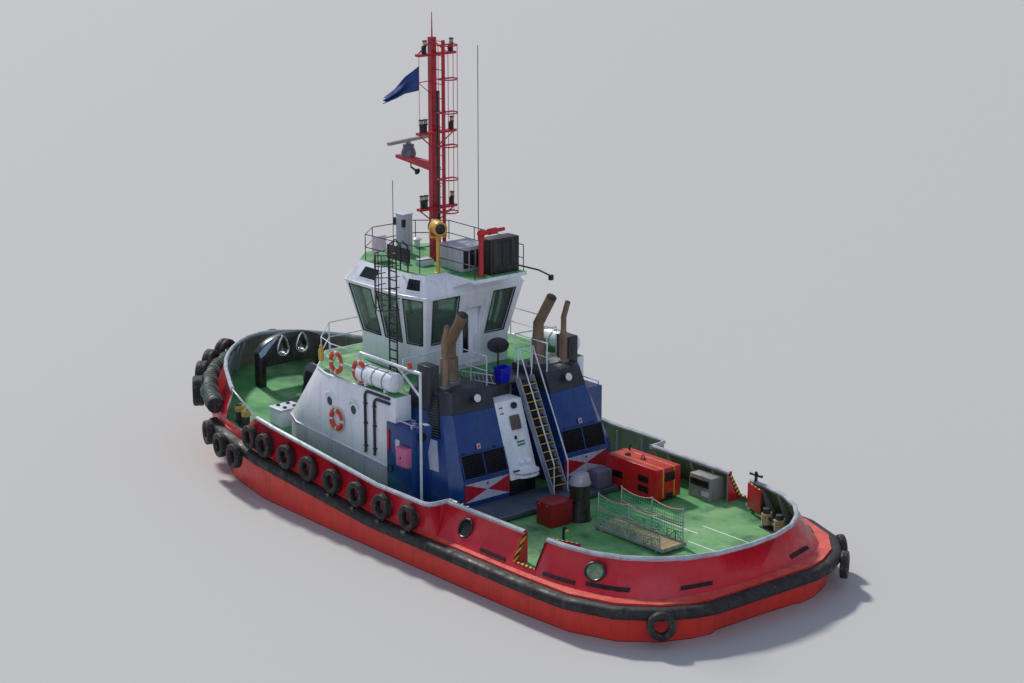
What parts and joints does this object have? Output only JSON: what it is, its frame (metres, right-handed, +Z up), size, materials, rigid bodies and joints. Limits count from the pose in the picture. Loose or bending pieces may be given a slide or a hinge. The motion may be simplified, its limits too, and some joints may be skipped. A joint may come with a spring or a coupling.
{
  "type": "harbour tugboat",
  "caption": "Harbour tugboat with a decked hull, raised wheelhouse, twin exhaust casings, lattice mast, rubber fenders, deck gear and steerable nozzle thrusters.",
  "frame": {"origin": "centreline amidships, at the waterline", "axes": "+X forward to the bow, +Y to port, +Z up"},
  "size_m": [27.0741, 10.9806, 20.55],
  "materials": {
    "hull_red": "gloss marine paint, worn",
    "signal_red": "gloss paint",
    "white": "gloss marine paint",
    "pale_grey": "satin paint",
    "grey": "satin paint",
    "blue": "gloss marine paint",
    "black": "satin paint",
    "deck_green": "non-slip deck paint",
    "slate": "non-slip deck paint",
    "fender_rubber": "weathered rubber",
    "bronze": "heat-stained paint",
    "glass": "tinted glass",
    "yellow": "gloss paint",
    "galvanised": "weathered",
    "flag_cloth": "woven flag cloth",
    "propeller_bronze": "polished",
    "fouling_red": "matt antifouling",
    "canvas": "coated canvas"
  },
  "bodies": {
    "boat": {"hull": "hull_red", "main_deck": "deck_green", "skeg": "fouling_red", "aft_bulwark": "hull_red", "fore_bulwark": "hull_red", "side_fender": "fender_rubber", "bow_fender": "fender_rubber", "deckhouse_lower": "grey", "deckhouse_upper": "white", "port_casing": "blue", "starboard_casing": "blue", "port_casing_top": "black", "starboard_casing_top": "black", "port_stacks": "bronze", "starboard_stacks": "bronze", "wheelhouse": "white", "wheelhouse_roof": "white", "wheelhouse_glazing": "glass", "helm_console": "grey", "helm_chair": "black", "aft_bulkhead": "white", "bridge_deck_aft": "deck_green", "aft_platform": "slate", "aft_stair": "galvanised", "bridge_rails": "white", "port_casing_rails": "white", "starboard_casing_rails": "white", "roof_rails": "black", "mast": "signal_red", "searchlight_post": "yellow", "monitor_post": "signal_red", "roof_tank": "pale_grey", "roof_locker": "black", "roof_cabinet": "pale_grey", "roof_board": "white", "port_liferaft": "white", "starboard_liferaft": "white", "port_frame": "white", "generator": "signal_red", "deck_chest": "signal_red", "platform_tank": "canvas", "towing_post": "black", "gangway": "galvanised", "tow_staple": "black", "winch_frame": "black", "fore_locker": "white", "side_locker": "pale_grey", "flag": "flag_cloth"},
    "port_gate": {"port_gate": "hull_red"},
    "starboard_gate": {"starboard_gate": "hull_red"},
    "wheelhouse_door": {"wheelhouse_door": "white"},
    "radar": {"radar_scanner": "white"},
    "searchlight": {"searchlight": "yellow"},
    "fire_monitor": {"fire_monitor": "signal_red"},
    "winch_drum": {"winch_drum": "grey"},
    "port_thruster": {"port_thruster": "fouling_red"},
    "starboard_thruster": {"starboard_thruster": "fouling_red"},
    "port_propeller": {"port_propeller": "propeller_bronze"},
    "starboard_propeller": {"starboard_propeller": "propeller_bronze"}
  },
  "joints": [
    {"name": "port_gate_fold", "type": "hinge", "parent": "boat", "child": "port_gate", "pos_m": [-8.73, 4.07, 1.7], "axis": [0, 0, 1], "range_deg": [-12, 160]},
    {"name": "starboard_gate_fold", "type": "hinge", "parent": "boat", "child": "starboard_gate", "pos_m": [-8.73, -4.07, 1.7], "axis": [0, 0, 1], "range_deg": [-160, 12]},
    {"name": "wheelhouse_door_swing", "type": "hinge", "parent": "boat", "child": "wheelhouse_door", "pos_m": [0.062, 0.31, 5.86], "axis": [0, 0, 1], "range_deg": [-90, 0]},
    {"name": "radar_scan", "type": "hinge", "parent": "boat", "child": "radar", "pos_m": [3.2, 0, 11.65], "axis": [0, 0, 1], "continuous": true},
    {"name": "searchlight_pan", "type": "hinge", "parent": "boat", "child": "searchlight", "pos_m": [0.3, 1.08, 9.1], "axis": [0, 0, 1], "range_deg": [-170, 170]},
    {"name": "monitor_slew", "type": "hinge", "parent": "boat", "child": "fire_monitor", "pos_m": [-0.95, 0.32, 9.15], "axis": [0, 0, 1], "range_deg": [-150, 150]},
    {"name": "winch_drum_turn", "type": "hinge", "parent": "boat", "child": "winch_drum", "pos_m": [7.7, 0, 2.75], "axis": [0, 1, 0], "continuous": true},
    {"name": "port_thruster_steer", "type": "hinge", "parent": "boat", "child": "port_thruster", "pos_m": [-9.8, 2.3, -2], "axis": [0, 0, 1], "continuous": true},
    {"name": "starboard_thruster_steer", "type": "hinge", "parent": "boat", "child": "starboard_thruster", "pos_m": [-9.8, -2.3, -2], "axis": [0, 0, 1], "continuous": true},
    {"name": "port_propeller_spin", "type": "hinge", "parent": "port_thruster", "child": "port_propeller", "pos_m": [-10.4, 2.3, -3.4], "axis": [1, 0, 0], "continuous": true},
    {"name": "starboard_propeller_spin", "type": "hinge", "parent": "starboard_thruster", "child": "starboard_propeller", "pos_m": [-10.4, -2.3, -3.4], "axis": [1, 0, 0], "continuous": true}
  ]
}
